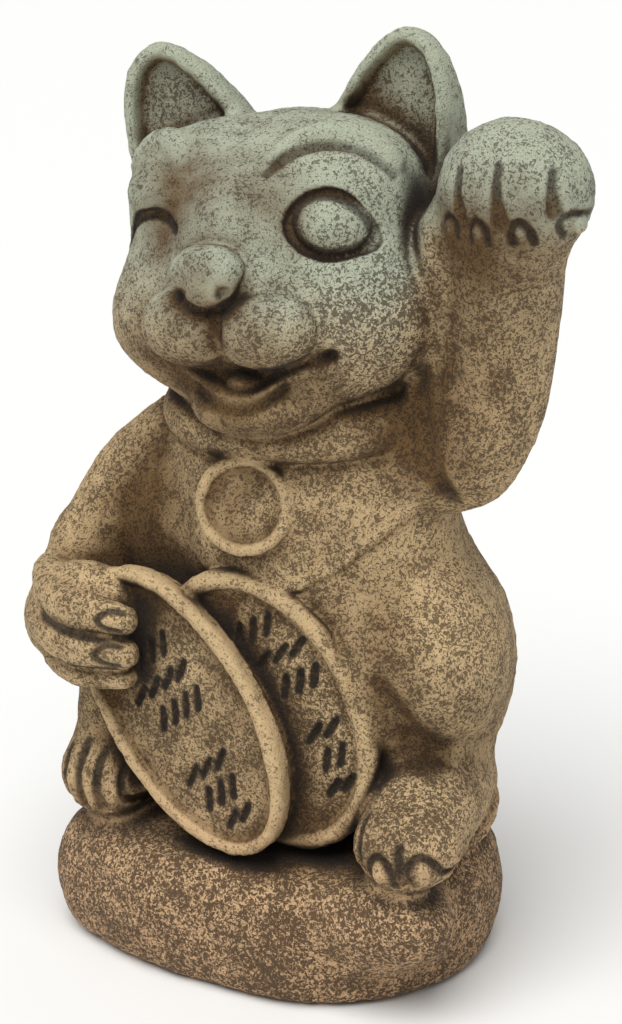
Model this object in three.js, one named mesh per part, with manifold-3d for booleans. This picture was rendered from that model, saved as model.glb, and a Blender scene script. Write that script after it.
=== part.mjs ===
// A lucky cat cast in stone: it sits on a mound, winks, raises its left paw and holds two oval coins.
// Millimetres. +X is the cat's left, -Y its front and +Z up. The origin is the middle of the footprint.
// The cat, its coins and its mound are one casting, so the group holds one mesh.

import * as THREE from "three";
import { mergeVertices } from "three/addons/utils/BufferGeometryUtils.js";
import Module from "manifold-3d";

const wasm = await Module();
wasm.setup();

// Driving dimensions
const MOUND_HEIGHT = 44;
const HEAD_CENTRE = [-3, -2, 230];
const HEAD_TURN = { yaw: 9.6, roll: -6.1, pitch: -2.5 };

const vec = (x, y, z) => new THREE.Vector3(x, y, z);
const degrees = THREE.MathUtils.degToRad;

// A turn about the figure's own axes, in degrees: first about X, then Y, then Z.
function turned(x, y, z) {
  return new THREE.Quaternion().setFromEuler(
    new THREE.Euler(degrees(x), degrees(y), degrees(z), "ZYX"),
  );
}

// Closed geometry as a manifold-3d solid.
function solid(geometry) {
  const bare = geometry.clone();
  bare.deleteAttribute("normal");
  bare.deleteAttribute("uv");
  const merged = mergeVertices(bare, 1e-3);
  const mesh = new wasm.Mesh({
    numProp: 3,
    vertProperties: merged.attributes.position.array,
    triVerts: new Uint32Array(merged.index.array),
  });
  mesh.merge();
  return new wasm.Manifold(mesh);
}

function placed(geometry, at, turn = [0, 0, 0]) {
  const pose = new THREE.Matrix4().compose(vec(...at), turned(...turn), vec(1, 1, 1));
  return geometry.applyMatrix4(pose);
}

// An ellipsoid of clay, the unit that the blended forms are made of.
function mass(at, size, { turn = [0, 0, 0], blend = 6 } = {}) {
  return { at: vec(...at), size: vec(...size), unturn: turned(...turn).invert(), blend };
}

function mirrored(at, size, { turn = [0, 0, 0], blend = 6 } = {}) {
  const [x, y, z] = at;
  const [tx, ty, tz] = turn;
  return [
    mass([x, y, z], size, { turn, blend }),
    mass([-x, y, z], size, { turn: [tx, -ty, -tz], blend }),
  ];
}

const local = vec(0, 0, 0);
const stretched = vec(0, 0, 0);

function distanceTo(one, point) {
  local.copy(point).sub(one.at).applyQuaternion(one.unturn).divide(one.size);
  const inside = local.length();
  stretched.copy(local).divide(one.size);
  return (inside * (inside - 1)) / Math.max(stretched.length(), 1e-9);
}

// Distance to all the masses, with a soft valley wherever two of them meet.
function distance(masses, point) {
  let nearest = distanceTo(masses[0], point);
  for (const one of masses.slice(1)) {
    const other = distanceTo(one, point);
    const share = Math.max(one.blend - Math.abs(nearest - other), 0) / one.blend;
    nearest = Math.min(nearest, other) - (share * share * one.blend) / 4;
  }
  return nearest;
}

// The point where a line, coming from outside, first meets the blended masses.
function meet(masses, from, direction, reach) {
  const point = from.clone();
  let gone = 0;
  for (let step = 0; step < 90 && gone < reach; step++) {
    const gap = distance(masses, point);
    if (gap < 0.01) break;
    point.addScaledVector(direction, gap * 0.8);
    gone += gap * 0.8;
  }
  return point;
}

// A skin over blended masses: a sphere grid's points are drawn in to the centre until they meet.
function skin(masses, { centre, reach = 140, columns, rows, pole = [0, 0, 0], gather = 1 }) {
  const grid = new THREE.SphereGeometry(1, columns, rows);
  const points = grid.attributes.position;
  const middle = vec(...centre);
  const facing = turned(...pole);
  for (let i = 0; i < points.count; i++) {
    const ray = vec(0, 0, 0).fromBufferAttribute(points, i);
    const down = Math.acos(THREE.MathUtils.clamp(ray.y, -1, 1)) / Math.PI;
    const angle = Math.PI * down ** gather;
    const around = Math.atan2(ray.z, ray.x);
    ray.set(Math.sin(angle) * Math.cos(around), Math.cos(angle), Math.sin(angle) * Math.sin(around));
    ray.applyQuaternion(facing);
    const start = middle.clone().addScaledVector(ray, reach);
    const found = meet(masses, start, ray.clone().negate(), reach);
    points.setXYZ(i, found.x, found.y, found.z);
  }
  return solid(grid);
}

// A rounded limb along a path. Each station is [x, y, z, half width, half depth].
function limb(stations, { sides = 14, steps = 14, caps = 4, across = [1, 0, 0] }) {
  const path = new THREE.CatmullRomCurve3(stations.map(([x, y, z]) => vec(x, y, z)));
  const girths = new THREE.CatmullRomCurve3(stations.map(([, , , w, d]) => vec(w, d ?? w, 0)));
  const rows = steps + 2 * caps;
  const grid = new THREE.SphereGeometry(1, sides, rows);
  const points = grid.attributes.position;
  for (let row = 0; row <= rows; row++) {
    const run = THREE.MathUtils.clamp((row - caps) / steps, 0, 1);
    const t = path.getUtoTmapping(run);
    const cap = row < caps ? caps - row : Math.max(row - caps - steps, 0);
    const bend = ((cap / caps) * Math.PI) / 2;
    const outward = row < caps ? -1 : 1;
    const girth = girths.getPoint(t);
    const ahead = path.getTangent(t);
    const side = vec(...across);
    side.addScaledVector(ahead, -ahead.dot(side)).normalize();
    const front = ahead.clone().cross(side);
    const capReach = outward * Math.sin(bend) * Math.min(girth.x, girth.y);
    const middle = path.getPoint(t).addScaledVector(ahead, capReach);
    for (let column = 0; column <= sides; column++) {
      const turn = (column / sides) * 2 * Math.PI;
      const point = middle.clone();
      point.addScaledVector(side, Math.cos(turn) * Math.cos(bend) * girth.x);
      point.addScaledVector(front, Math.sin(turn) * Math.cos(bend) * girth.y);
      points.setXYZ(row * (sides + 1) + column, point.x, point.y, point.z);
    }
  }
  return solid(flipped(grid));
}

function flipped(geometry) {
  if (!geometry.index) geometry = mergeVertices(geometry);
  const order = geometry.index.array;
  for (let i = 0; i < order.length; i += 3) {
    [order[i + 1], order[i + 2]] = [order[i + 2], order[i + 1]];
  }
  return geometry;
}

// The mound's reach from the middle, for every 30 degrees from +X. It is a low rounded cushion.
const MOUND_REACH = [65, 64, 61, 58, 62, 68, 74, 83, 66, 57, 60, 64];

function mound() {
  const profile = [
    [0, 0],
    [0.9, 0],
    [0.965, 5],
    [1, 15],
    [0.99, 26],
    [0.93, 36],
    [0.8, 42],
    [0.5, MOUND_HEIGHT],
    [0, MOUND_HEIGHT],
  ];
  const columns = 26;
  const corners = MOUND_REACH.map((reach, i) => {
    const angle = degrees(30 * i);
    return vec(Math.cos(angle), Math.sin(angle), 0).multiplyScalar(reach);
  });
  const plan = new THREE.CatmullRomCurve3(corners, true);
  const lathe = new THREE.LatheGeometry(
    profile.map(([r, z]) => new THREE.Vector2(r, z)),
    columns,
  );
  const points = lathe.attributes.position;
  for (let i = 0; i < points.count; i++) {
    const [share, height] = profile[i % profile.length];
    const rim = plan.getPoint((Math.floor(i / profile.length) % columns) / columns);
    points.setXYZ(i, rim.x * share, rim.y * share, height);
  }
  return solid(lathe);
}

const BODY = [
  mass([0, 10, 88], [46, 42, 46]),
  mass([2, 2, 134], [48.5, 36, 42], { blend: 20 }),
  mass([2, 0, 164], [50, 31, 26], { blend: 16 }),
  mass([0, 5, 192], [43, 37, 20], { blend: 14 }),
  mass([-44, -6, 134], [20, 20, 34], { blend: 8 }),
  ...mirrored([33, 12, 96], [31, 38, 42], { blend: 12 }),
  mass([46, -6, 106], [24, 27, 26], { blend: 13 }),
  mass([-53, -16, 76], [20, 25, 32], { blend: 6 }),
  mass([0, 30, 120], [36, 27, 57], { blend: 14 }),
];

// The lower edge of the bib, in the front view
const BIB = [
  [53, 165],
  [48, 156],
  [39, 147],
  [30, 138],
  [19, 131],
  [2, 127],
  [-16, 130],
];

function torso() {
  const bare = skin(BODY, { centre: [0, 8, 112], columns: 24, rows: 15, pole: [90, 0, 0] });
  return bare.subtract(stroke(BODY, BIB, 1.6, { steps: 8 }));
}

const HEAD = [
  mass([0, 4, 2], [46, 42, 38]),
  ...mirrored([22, -12, 17], [24, 23, 20], { blend: 12 }),
  ...mirrored([22, -14, -18], [31.5, 30, 25], { blend: 14 }),
  mass([0, -17, -31], [32, 28, 22], { blend: 10 }),
  mass([-1, -39, -10], [20, 16, 16], { blend: 12 }),
  mass([-1, -34, 8], [16, 19, 17], { blend: 14 }),
  mass([0, -36, -43], [20, 14, 9], { blend: 6 }),
];

function ball(at, size, columns = 16, rows = 10, turn = [0, 0, 0]) {
  return solid(placed(new THREE.SphereGeometry(1, columns, rows).scale(...size), at, turn));
}

function onFront(masses, [x, z], lift = 0) {
  const found = meet(masses, vec(x, -130, z), vec(0, 1, 0), 200);
  return [found.x, found.y - lift, found.z];
}

// A round tool drawn along a line, given in the front view, that follows the surface.
function stroke(masses, line, radius, { lift = 0, steps = 5 } = {}) {
  const curve = new THREE.CatmullRomCurve3(line.map(([x, z]) => vec(x, 0, z)));
  const stations = [];
  for (let i = 0; i <= steps; i++) {
    const point = curve.getPoint(i / steps);
    const width = radius * (i === 0 || i === steps ? 0.5 : 1);
    stations.push([...onFront(masses, [point.x, point.z], lift), width, width]);
  }
  return limb(stations, { sides: 5, steps, caps: 2, across: [0, 1, 0] });
}

// The same tool drawn round a closed line.
function loop(masses, line, radius) {
  const sides = 5;
  const steps = 16;
  const curve = new THREE.CatmullRomCurve3(line.map(([x, z]) => vec(x, 0, z)), true);
  const ring = new THREE.TorusGeometry(1, 0.1, sides, steps);
  const points = ring.attributes.position;
  for (let side = 0; side <= sides; side++) {
    for (let step = 0; step <= steps; step++) {
      const at = curve.getPoint((step % steps) / steps);
      const ahead = curve.getTangent((step % steps) / steps);
      const turn = (side / sides) * 2 * Math.PI;
      const [x, y, z] = onFront(masses, [at.x, at.z]);
      const out = Math.cos(turn) * radius;
      const forward = Math.sin(turn) * radius;
      points.setXYZ(side * (steps + 1) + step, x + ahead.z * out, y - forward, z - ahead.x * out);
    }
  }
  return solid(ring);
}

// Lines of the face in its front view, and the mouth's stations
const EYE = [
  [17.5, 11],
  [20, 15.7],
  [25.8, 18],
  [31.2, 16.6],
  [34.6, 12.6],
  [38, 5],
  [34, 2.3],
  [28, 1.2],
  [22.3, 3.2],
  [19, 6.5],
];
const WINK = [
  [-42, 7],
  [-38, 12],
  [-30, 14.3],
  [-23.7, 12.8],
  [-18.5, 8.5],
];
const BROW = [
  [10, 27.5],
  [17.4, 32.9],
  [25.8, 34],
  [33.4, 32.5],
  [41, 26.5],
];
const SQUINT_BROW = [
  [-38, 29],
  [-34.3, 32],
  [-28, 33.5],
  [-23.7, 32.5],
  [-18.8, 28],
];
const LIP = [
  [-18, -30.5],
  [-14, -33.2],
  [-5.5, -37.6],
  [1.8, -39],
  [7.8, -37.8],
  [13, -34],
  [20, -31.5],
];
const MOUTH = [
  [-22, -43, -27, 2.5, 1.5],
  [-12, -48, -29.3, 5, 3],
  [1, -51, -31.5, 8, 5.2],
  [13, -48, -29.2, 5.5, 3.2],
  [27, -40.5, -27.5, 4, 2.7],
];

function head() {
  const skull = skin(HEAD, {
    centre: [0, -8, -4],
    columns: 26,
    rows: 16,
    pole: [180, 0, 0],
    gather: 1.15,
  });
  const swellings = [
    stroke(HEAD, BROW, 2.8, { lift: -1.2 }),
    stroke(HEAD, SQUINT_BROW, 4, { lift: -2 }),
    ball([-30, -25.5, 20], [10, 10, 8], 8, 6),
    ball([-13, -43.5, -16.5], [14.5, 13.5, 12], 12, 8),
    ball([11, -43.5, -16.5], [14.5, 13.5, 12], 12, 8),
  ];
  const lip = stroke(HEAD, LIP, 1.8, { lift: -0.6, steps: 6 });
  const tongue = ball([0.5, -41, -34.5], [6, 6.5, 3.5], 8, 6);
  const nose = ball([-1.5, -52.3, 0.3], [10.3, 8, 6.2], 12, 8).add(
    ball([-1.5, -53.3, -4.2], [7, 6.5, 5], 10, 7),
  );
  const nostrils = [-1, 1].map((side) =>
    ball([side * 7 - 1.5, -58, -6], [2.8, 3.2, 1.6], 6, 5, [0, side * 30, 0]),
  );
  const philtrum = ball([-1, -56, -17], [1.3, 4, 8], 6, 5);
  const socket = ball([27.3, -36.5, 9.3], [9.5, 4.2, 8], 10, 7, [0, 12, 25]);
  const eyeball = ball([27.6, -29, 9], [8.9, 8, 7.6], 11, 7, [0, 12, 25]);
  return wasm.Manifold.union([skull, ...swellings])
    .subtract(limb(MOUTH, { sides: 6, steps: 6, caps: 2, across: [0, 1, 0] }))
    .add(lip)
    .add(tongue)
    .subtract(wasm.Manifold.union([philtrum, socket, loop(HEAD, EYE, 2.3)]))
    .add(nose)
    .add(eyeball)
    .subtract(wasm.Manifold.union([...nostrils, stroke(HEAD, WINK, 2)]));
}

// An upright ear with a rounded tip and a sunken front. It is thicker at its root.
function ear(side) {
  const outline = (shrink) => {
    const outer = 24 - shrink;
    const inner = 20 - shrink;
    const top = 32 - shrink;
    const shape = new THREE.Shape();
    shape.moveTo(-inner, -14);
    shape.bezierCurveTo(-inner, 2, -inner * 0.35, top, 4, top);
    shape.bezierCurveTo(outer * 0.75, top, outer, 12, outer, -14);
    shape.closePath();
    return shape;
  };
  const body = new THREE.ExtrudeGeometry(outline(0), {
    depth: 6,
    curveSegments: 6,
    bevelThickness: 3,
    bevelSize: 2.5,
    bevelOffset: -2.5,
    bevelSegments: 2,
  });
  const hollow = new THREE.ExtrudeGeometry(outline(5), {
    depth: 12,
    curveSegments: 6,
    bevelEnabled: false,
  });
  body.scale(side, 1, 1);
  hollow.scale(side, 1, 1);
  const points = body.attributes.position;
  for (let i = 0; i < points.count; i++) {
    const root = THREE.MathUtils.clamp((32 - points.getY(i)) / 46, 0, 1);
    const back = points.getZ(i) - 9;
    points.setZ(i, 9 + back * (0.75 + root));
  }
  const stand = (geometry, back) => {
    const outward = side < 0 ? flipped(geometry) : geometry;
    return solid(placed(outward, [side * 31, back, 32], [90, side * 14, side * -6]));
  };
  return stand(body, 8).subtract(stand(hollow, 2.5));
}

function raisedArm() {
  const stations = [
    [57, 0, 173, 17, 17],
    [63.5, 0, 188, 17.5, 17],
    [67, 0, 208, 17, 17.5],
    [71, -3, 236, 17, 16.5],
  ];
  const web = [
    [48, 2, 184, 11, 12],
    [51, 2, 212, 11, 12],
    [54, 0, 242, 10, 11],
  ];
  return limb(stations, { sides: 12, steps: 4, caps: 2 })
    .add(ball([44, 1, 171], [22, 20, 19], 10, 7))
    .add(limb(web, { sides: 8, steps: 3, caps: 2 }));
}

const PAW = [mass([75, -7, 254.5], [23, 19, 20.5])];

function raisedPaw() {
  const gaps = [66, 78.5, 92].map((x) =>
    stroke(PAW, [[x, 263], [x + 1, 255], [x + 1.5, 247]], 1.6, { steps: 2 }),
  );
  const claws = [[62.5, 245.5], [72.8, 245.5], [85, 246], [96, 248]].map((place) =>
    ball(onFront(PAW, place, -0.8), [2.4, 3, 3.6], 6, 5),
  );
  return ball([75, -7, 254.5], [23, 19, 20.5], 15, 9)
    .subtract(wasm.Manifold.union(gaps))
    .add(wasm.Manifold.union(claws));
}

const FINGERS = [
  [
    [-72, -38, 120, 7, 7],
    [-60, -51, 118.5, 6.5, 6.5],
    [-47, -56.5, 117.2, 5.8, 5.8],
    [-36, -55, 117.5, 4.6, 4.6],
  ],
  [
    [-73, -38, 110, 7, 7],
    [-61, -53, 108.5, 6.5, 6.5],
    [-47, -58.5, 107.3, 6, 6],
    [-35, -56, 107.8, 5, 5],
  ],
  [
    [-70, -36, 100.5, 6.5, 6.5],
    [-60, -50, 99.5, 5.8, 5.8],
    [-47, -55, 98.5, 5.2, 5.2],
    [-37, -53, 99.5, 4.2, 4.2],
  ],
];

function holdingArm() {
  const upper = [
    [-42, -3, 160, 16, 18],
    [-57, -9, 147, 15.5, 17],
    [-68, -17, 127, 15.5, 15.5],
  ];
  const fore = [
    [-70, -18, 122, 16, 15],
    [-68, -30, 113, 15.5, 15],
    [-60, -41, 109, 14, 14],
  ];
  const fingers = FINGERS.map((stations) =>
    limb(stations, { sides: 7, steps: 4, caps: 2, across: [0, 0, 1] }),
  );
  return limb(upper, { sides: 12, steps: 4, caps: 2, across: [0, 1, 0] })
    .add(limb(fore, { sides: 12, steps: 3, caps: 2 }))
    .add(ball([-60, -42, 109], [18, 14, 15.5], 10, 7))
    .add(wasm.Manifold.union(fingers));
}

// A flat oval piece with a raised rim, its front face to -Y. Marks are short cuts in its face.
function disc({ at, turn, halfLength, halfWidth, thickness, backing, ...rest }) {
  const { rim = 5, sunk = 2.6, columns = 22, marks = [] } = rest;
  const profile = [
    [halfWidth, -backing],
    [4, -backing],
    [0, -thickness + 1.8],
    [0, -1.8],
    [1.5, 0],
    [rim - 1, 0],
    [rim, -sunk],
    [halfWidth, -sunk],
  ];
  const lathe = new THREE.LatheGeometry(
    profile.map(([, y]) => new THREE.Vector2(1, y)),
    columns,
  );
  const points = lathe.attributes.position;
  for (let i = 0; i < points.count; i++) {
    const row = i % profile.length;
    const [inset, height] = profile[row];
    const around = (Math.floor(i / profile.length) / columns) * 2 * Math.PI;
    const centre = row === 0 || row === profile.length - 1;
    const long = centre ? 0 : halfLength - inset;
    const wide = centre ? 0 : halfWidth - inset;
    points.setXYZ(i, wide * Math.sin(around), -height, long * Math.cos(around));
  }
  const cuts = marks.map(([x, z, long, lean]) => {
    const tool = new THREE.SphereGeometry(1, 5, 4).scale(1.2, 1.1, long / 2);
    return solid(placed(placed(tool, [x, sunk, z], [0, lean, 0]), at, turn));
  });
  const plain = solid(placed(flipped(lathe), at, turn));
  return cuts.length ? plain.subtract(wasm.Manifold.union(cuts)) : plain;
}

// A foot along its stations, with the gaps between its toes cut at the given places.
function foot(stations, gaps) {
  const cuts = gaps.map((place) => ball(place, [1.3, 4, 8], 6, 5));
  return limb(stations, { sides: 12, steps: 4, caps: 2 }).subtract(wasm.Manifold.union(cuts));
}

const LEFT_FOOT = [
  [46, 10, 60, 17, 17],
  [52, -12, 61.5, 17.5, 18.5],
  [58, -33, 57, 16.5, 14],
];
const LEFT_TOE_GAPS = [
  [51, -44, 54],
  [61, -46, 54],
  [68.5, -43, 54],
];
const RIGHT_FOOT = [
  [-43, 10, 60, 16, 17],
  [-48, -12, 57, 15.5, 14],
  [-53, -40, 53.4, 14, 10.4],
];
const RIGHT_TOE_GAPS = [
  [-61, -45.5, 52],
  [-54, -49, 53],
  [-47.5, -48, 53],
  [-41, -44, 53],
];

function tail() {
  const stations = [
    [-6, 49, 58, 8, 9],
    [24, 44, 50, 8, 9],
    [44, 30, 47, 8, 9],
    [52, 12, 45, 7.5, 8],
    [52, -4, 43, 5, 6],
  ];
  return limb(stations, { sides: 8, steps: 7, caps: 2, across: [0, 0, 1] });
}

// A padded band round the neck, lower at the front. It fills the neck, so it has no inner wall.
function collar() {
  const profile = [
    [0, -8],
    [0.84, -8],
    [0.95, -6],
    [1, 0],
    [0.95, 6],
    [0.84, 8],
    [0, 8],
  ];
  const band = new THREE.LatheGeometry(
    profile.map(([r, z]) => new THREE.Vector2(r, z)),
    24,
  );
  const points = band.attributes.position;
  for (let i = 0; i < points.count; i++) {
    const [x, z, y] = [points.getX(i), points.getY(i), -points.getZ(i)];
    points.setXYZ(i, x * 49, y * 40, z + 4 * Math.min(y, 0));
  }
  return solid(placed(band, [2, 0, 181], [0, -4, 0]));
}

const headPose = new THREE.Matrix4().compose(
  vec(...HEAD_CENTRE),
  turned(HEAD_TURN.pitch, HEAD_TURN.roll, HEAD_TURN.yaw),
  vec(1, 1, 1),
);

// Marks on a coin: across, up, length and lean in degrees
const MARKS = [
  [-5, 22, 14, 70],
  [5, 14, 14, 80],
  [-6, 7, 12, 15],
  [5, 3, 13, 40],
  [-2, -12, 14, 75],
  [4, -20, 12, 30],
  [-2, -28, 10, 80],
];

function whole() {
  const skull = head().add(ear(-1)).add(ear(1)).transform(headPose.elements);
  const coin = { halfLength: 50, halfWidth: 30, thickness: 7, marks: MARKS };
  return wasm.Manifold.union([
    mound(),
    torso(),
    skull,
    raisedArm(),
    raisedPaw(),
    holdingArm(),
    disc({ ...coin, at: [-17, -48, 88], turn: [0, -37, 0], backing: 14 }),
    disc({ ...coin, at: [4, -38, 90], turn: [0, -28, 10], backing: 20 }),
    disc({
      at: [3, -40, 157],
      turn: [-8, 0, 18],
      halfLength: 15.5,
      halfWidth: 15.5,
      thickness: 6,
      backing: 12,
      rim: 4,
      sunk: 1.8,
      columns: 20,
    }),
    foot(LEFT_FOOT, LEFT_TOE_GAPS),
    foot(RIGHT_FOOT, RIGHT_TOE_GAPS),
    tail(),
    collar(),
  ]);
}

// The solid moved so that the middle of its footprint is the origin, as geometry for the mesh.
function geometryOf(solid) {
  const { min, max } = solid.boundingBox();
  const made = solid.translate([-(min[0] + max[0]) / 2, -(min[1] + max[1]) / 2, -min[2]]);
  const { vertProperties, triVerts } = made.getMesh();
  const places = new THREE.BufferAttribute(new Float32Array(vertProperties), 3);
  const geometry = new THREE.BufferGeometry().setAttribute("position", places);
  return geometry.setIndex(new THREE.BufferAttribute(triVerts, 1));
}

const stone = new THREE.MeshStandardMaterial({ color: "#a2967a", roughness: 0.9, metalness: 0 });
const cat = new THREE.Mesh(geometryOf(whole()), stone);
cat.name = "lucky_cat";

const figurine = new THREE.Group();
figurine.add(cat);

export default figurine;
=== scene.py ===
import bpy
import math
import numpy as np
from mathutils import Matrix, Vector, noise
from mathutils.bvhtree import BVHTree


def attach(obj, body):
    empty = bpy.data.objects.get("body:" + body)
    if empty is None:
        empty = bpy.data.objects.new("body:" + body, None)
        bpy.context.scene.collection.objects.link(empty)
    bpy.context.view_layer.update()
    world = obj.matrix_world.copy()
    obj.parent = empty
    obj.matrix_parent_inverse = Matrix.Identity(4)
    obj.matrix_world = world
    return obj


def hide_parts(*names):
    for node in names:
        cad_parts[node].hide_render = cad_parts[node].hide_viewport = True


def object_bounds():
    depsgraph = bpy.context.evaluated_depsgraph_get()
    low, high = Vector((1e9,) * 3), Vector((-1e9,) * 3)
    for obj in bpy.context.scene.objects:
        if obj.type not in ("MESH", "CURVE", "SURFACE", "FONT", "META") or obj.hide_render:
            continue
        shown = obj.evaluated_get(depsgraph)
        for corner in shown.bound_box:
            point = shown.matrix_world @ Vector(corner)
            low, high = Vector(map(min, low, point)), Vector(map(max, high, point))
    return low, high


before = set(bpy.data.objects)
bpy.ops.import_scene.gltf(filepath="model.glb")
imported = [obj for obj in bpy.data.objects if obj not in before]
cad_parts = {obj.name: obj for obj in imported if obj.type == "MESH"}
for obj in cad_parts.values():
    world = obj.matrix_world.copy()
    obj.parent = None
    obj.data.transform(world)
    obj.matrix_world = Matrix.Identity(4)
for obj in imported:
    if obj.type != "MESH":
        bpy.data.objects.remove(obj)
cad_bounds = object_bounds()
bpy.ops.object.select_all(action="DESELECT")
bpy.context.scene.view_settings.view_transform = "Standard"

MM = 0.001

# The middle of the part's footprint, in the millimetre frame in which the clay is laid out
LAYOUT_SHIFT = np.array([6.211, -3.196, 0.0])


def at(x, y, z):
    """A point of the layout, in millimetres, as a point of the scene."""
    return (Vector((x, y, z)) - Vector(LAYOUT_SHIFT)) * MM


# Camera: its place in the layout, its turn to the side and its tilt down, in degrees
CAMERA_PLACE = (400.05, -613.6, 381.8)
VIEW_TURN = 33.0
VIEW_TILT = 18.0

bpy.ops.object.camera_add(
    location=at(*CAMERA_PLACE),
    rotation=(math.radians(90 - VIEW_TILT), 0, math.radians(VIEW_TURN)),
)
camera = bpy.context.object
camera.data.sensor_fit = "VERTICAL"
camera.data.sensor_height = 36.0
camera.data.lens = 85.96
camera.data.clip_start = 0.05
camera.data.clip_end = 20.0
bpy.context.scene.camera = camera


# Clay. A form tells how far each of many points is from its surface, in millimetres, negative inside.
# The layout's millimetre frame is the solid's, and so are most of its values.

# The distance given where a form isn't worked out, and the one that any other is nearer than
FAR = 99.0
ENDLESS = 1e9

# The least that anything is divided by
TINY = 1e-9


def turned(x, y, z):
    """A turn about X, then Y, then Z, in degrees, as a matrix."""
    a, b, c = np.radians([x, y, z])
    about_x = np.array([[1, 0, 0], [0, np.cos(a), -np.sin(a)], [0, np.sin(a), np.cos(a)]])
    about_y = np.array([[np.cos(b), 0, np.sin(b)], [0, 1, 0], [-np.sin(b), 0, np.cos(b)]])
    about_z = np.array([[np.cos(c), -np.sin(c), 0], [np.sin(c), np.cos(c), 0], [0, 0, 1]])
    return about_z @ about_y @ about_x


def ramp(low, high, value):
    """A smooth rise from 0 to 1 between two values."""
    share = np.clip((value - low) / (high - low), 0, 1)
    return share * share * (3 - 2 * share)


def join(a, b, soft):
    """Two forms in one, with the corner between them filled softly."""
    share = np.maximum(soft - np.abs(a - b), 0) / soft
    return np.minimum(a, b) - share * share * soft / 4


def cut(a, b, soft):
    """What is left of a when b is cut out of it, with its edges softened."""
    share = np.maximum(soft - np.abs(a + b), 0) / soft
    return np.maximum(a, -b) + share * share * soft / 4


def rounded(offsets, size):
    """Distance to an ellipsoid of the given half sizes, near its surface."""
    scaled = offsets / size
    inside = np.sqrt(np.einsum("ij,ij->i", scaled, scaled))
    scaled = scaled / size
    return inside * (inside - 1) / np.maximum(np.sqrt(np.einsum("ij,ij->i", scaled, scaled)), TINY)


def lump(p, place, size, turn=(0, 0, 0)):
    """An egg of clay: its middle, its half sizes and its turn."""
    return rounded((p - np.array(place, float)) @ turned(*turn), np.array(size, float))


def clay(p, lumps):
    """Lumps laid on in turn: the middle and half sizes of each, and how softly it joins the others."""
    total = None
    for place, size, soft in lumps:
        one = lump(p, place, size)
        total = one if total is None else join(total, one, soft)
    return total


def both(x, y, z, size, soft):
    """The same lump on either side of the middle."""
    return [((x, y, z), size, soft), ((-x, y, z), size, soft)]


def slab(inset, y, low, high, r):
    """A plate between two depths, with its rim rounded, from how far each point is inside its outline."""
    a = r - inset
    b = np.abs(y - (low + high) / 2) - (high - low) / 2 + r
    return np.hypot(np.maximum(a, 0), np.maximum(b, 0)) + np.minimum(np.maximum(a, b), 0) - r


def curve(knots, count, closed=False):
    """Evenly spaced stations on a smooth line through the knots, each a row of numbers."""
    knots = np.array(knots, float)
    spans = len(knots) if closed else len(knots) - 1
    if closed:
        padded = np.vstack([knots[-1], knots, knots[:2]])
    else:
        padded = np.vstack([2 * knots[0] - knots[1], knots, 2 * knots[-1] - knots[-2]])
    run = np.linspace(0, spans, count, endpoint=not closed)
    k = np.minimum(run.astype(int), spans - 1)
    t = (run - k)[:, None]
    a, b, c, d = (padded[k + i] for i in range(4))
    return 0.5 * (2 * b + (c - a) * t + (2 * a - 5 * b + 4 * c - d) * t**2 + (3 * b - a - 3 * c + d) * t**3)


def bezier(a, b, c, d, count):
    """Stations on a smooth line from a to d, drawn towards b and c on its way."""
    t = np.linspace(0, 1, count)[:, None]
    a, b, c, d = (np.array(v, float) for v in (a, b, c, d))
    return a * (1 - t) ** 3 + 3 * b * t * (1 - t) ** 2 + 3 * c * t**2 * (1 - t) + d * t**3


def nearest_on(p, line):
    """For each point, its distance to a line of stations, the nearest stretch and the share along it."""
    best = np.full(len(p), ENDLESS)
    which = np.zeros(len(p), int)
    share = np.zeros(len(p))
    for i in range(len(line) - 1):
        start, run = line[i], line[i + 1] - line[i]
        t = np.clip(((p - start) @ run) / (run @ run + 1e-12), 0, 1)
        gap = p - start - t[:, None] * run
        square = np.einsum("ij,ij->i", gap, gap)
        closer = square < best
        best[closer] = square[closer]
        which[closer] = i
        share[closer] = t[closer]
    return np.sqrt(best), which, share


def cord(p, line, radius):
    """A round string of clay along a line. The radius may differ from station to station."""
    gap, which, share = nearest_on(p, line)
    radius = np.broadcast_to(np.asarray(radius, float), len(line))
    return gap - (radius[which] * (1 - share) + radius[which + 1] * share)


def tapered(p, line, middle, end):
    """A string of clay or a tool's stroke that is thinner at its ends than in its middle."""
    swell = np.sin(np.linspace(0, np.pi, len(line))) ** 0.6
    return cord(p, line, end + (middle - end) * swell)


def deepening(p, line, end):
    """A tool's stroke that starts fine and is pressed in more and more."""
    return cord(p, line, np.linspace(0.5, end, len(line)))


def limb(p, stations, across, steps=12, twist=0.0):
    """An oval limb. Each station is x, y, z, half width, half depth. A twist is its strands' spacing."""
    line = curve(stations, steps + 1)
    ahead = np.gradient(line[:, :3], axis=0)
    ahead /= np.linalg.norm(ahead, axis=1)[:, None]
    _, which, share = nearest_on(p, line[:, :3])
    share = share[:, None]
    here = line[which] * (1 - share) + line[which + 1] * share
    run = ahead[which] * (1 - share) + ahead[which + 1] * share
    run /= np.linalg.norm(run, axis=1)[:, None]
    side = np.array(across, float) - run * (run @ np.array(across, float))[:, None]
    side /= np.linalg.norm(side, axis=1)[:, None]
    front = np.cross(run, side)
    gap = p - here[:, :3]
    offsets = np.stack([np.einsum("ij,ij->i", gap, axis) for axis in (side, front, run)], axis=1)
    girth = np.column_stack([here[:, 3], here[:, 4], np.minimum(here[:, 3], here[:, 4])])
    total = rounded(offsets, girth)
    if twist:
        along = (which + share[:, 0]) * np.linalg.norm(np.diff(line[:, :3], axis=0), axis=1).mean()
        total += 0.5 * np.cos((along + 0.7 * offsets[:, 0]) * 2 * np.pi / twist)
    return total


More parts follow.
